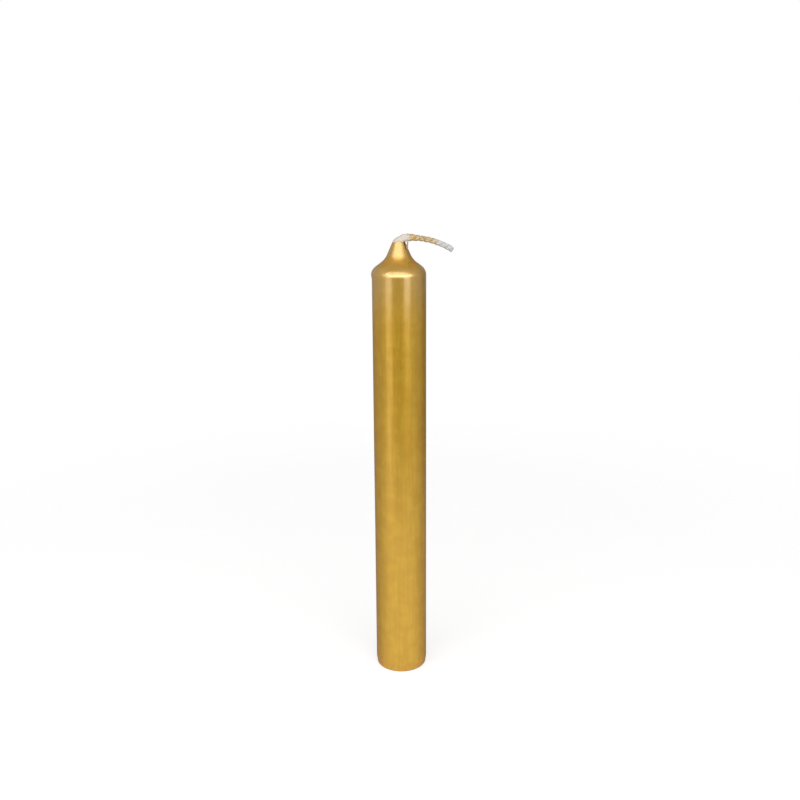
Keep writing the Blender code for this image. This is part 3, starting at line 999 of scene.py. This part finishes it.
# The room: white walls in soft light. The camera sees them full white, and the lacquer mirrors them white
# straight behind the candle. Elsewhere they are dim, and dimmest in front and on the right at the back.
ROOM_LEVEL = 0.43
FRONT_LEVEL = 0.15
RIGHT_REAR_SHARE = 0.45
FRONT_SIDE = (-0.5, -0.85)
RIGHT_SIDE = (0.3, 0.75)
REAR_SIDE = (0.1, 0.5)
STRAIGHT_BEHIND = (0.97, 1.0)
WHITE = (1.0, 1.0, 1.0, 1.0)

room = bpy.data.worlds.new("room")
bpy.context.scene.world = room
room.use_nodes = True
room.node_tree.nodes.clear()
room_look = Wiring(room.node_tree, "Generated")
to_rear = room_look.coordinate("Y")
rays = room_look.node("ShaderNodeLightPath").outputs
mirrored = room_look.combined("MAXIMUM", rays["Is Glossy Ray"], rays["Is Transmission Ray"])
mirrored_white = room_look.combined("MULTIPLY", mirrored, room_look.ranged(to_rear, *STRAIGHT_BEHIND))
shown_white = room_look.combined("MAXIMUM", rays["Is Camera Ray"], mirrored_white)
right_side = room_look.ranged(room_look.coordinate("X"), *RIGHT_SIDE, smooth=False)
rear_side = room_look.ranged(to_rear, *REAR_SIDE, smooth=False)
right_rear = room_look.combined("MULTIPLY", right_side, rear_side)
dimming = room_look.ranged(right_rear, 0.0, 1.0, 1.0, RIGHT_REAR_SHARE, smooth=False)
level = room_look.ranged(to_rear, *FRONT_SIDE, ROOM_LEVEL, FRONT_LEVEL)
dim_level = room_look.combined("MULTIPLY", level, dimming)
dim_walls = room_look.node("ShaderNodeBackground", {"Color": WHITE, "Strength": dim_level})
white_walls = room_look.node("ShaderNodeBackground", {"Color": WHITE, "Strength": 1.0})
shaders = {1: dim_walls.outputs["Background"], 2: white_walls.outputs["Background"]}
walls = room_look.node("ShaderNodeMixShader", {"Fac": shown_white, **shaders})
room_look.node("ShaderNodeOutputWorld", {"Surface": walls.outputs["Shader"]})

# The lamps: a wide box above the camera in two halves, of which the lower one is the brighter and has dimmer
# wings, and two panels that reach down below the table top. The box makes the pale crescent on the shoulder
# and the gloss on the neck, and the panels make the light bands on the body.
LAMPS = [
    ("box_upper_half", -8, 52, 1.25, 0.4, 1.35),
    ("box_lower_half", -6, 26, 1.25, 0.4, 2.9),
    ("box_left_wing", -58, 26, 0.4, 0.34, 1.7),
    ("box_right_wing", 47, 26, 0.4, 0.34, 2.0),
    ("left_panel", -43, -5, 0.42, 0.8, 0.82),
    ("right_panel", 34, 8, 0.42, 0.62, 1.25),
]
LAMP_DISTANCE = 0.9
LIGHT_TARGET = Vector((0.0, 0.0, 0.12))

for name, azimuth, elevation, width, length, radiance in LAMPS:
    light = bpy.data.lights.new(name, "AREA")
    light.shape = "RECTANGLE"
    light.size = width
    light.size_y = length
    light.energy = radiance * math.pi * width * length
    lamp = bpy.data.objects.new(name, light)
    turn = math.radians(azimuth)
    rise = math.radians(elevation)
    way = Vector((math.sin(turn) * math.cos(rise), -math.cos(turn) * math.cos(rise), math.sin(rise)))
    lamp.location = LIGHT_TARGET + way * LAMP_DISTANCE
    lamp.rotation_euler = way.to_track_quat("Z", "Y").to_euler()
    lamp.visible_camera = False
    bpy.context.scene.collection.objects.link(lamp)

# The camera stands above the candle's tip and looks down. The photograph was taken with the camera
# turned slightly, so that the candle leans by a small angle in the picture.
SENSOR_WIDTH = 36
PICTURE_WIDTH_IN_PIXELS = 800
FOCAL_LENGTH_IN_PIXELS = 1055
CAMERA_PLACE = Vector((-0.72, -423.5, 240.6)) * MM
LOOK_DOWN = math.radians(15.77)
PICTURE_LEAN = math.radians(0.378)

camera_data = bpy.data.cameras.new("camera")
camera_data.lens = SENSOR_WIDTH * FOCAL_LENGTH_IN_PIXELS / PICTURE_WIDTH_IN_PIXELS
camera_data.sensor_width = SENSOR_WIDTH
camera_data.sensor_fit = "HORIZONTAL"
camera_data.clip_start = 0.01
camera = bpy.data.objects.new("camera", camera_data)
bpy.context.scene.collection.objects.link(camera)
aim = Matrix.Translation(CAMERA_PLACE) @ Matrix.Rotation(math.pi / 2 - LOOK_DOWN, 4, "X")
camera.matrix_world = Matrix.Rotation(PICTURE_LEAN, 4, "Y") @ aim
bpy.context.scene.camera = camera
bpy.context.scene.view_settings.view_transform = "Standard"
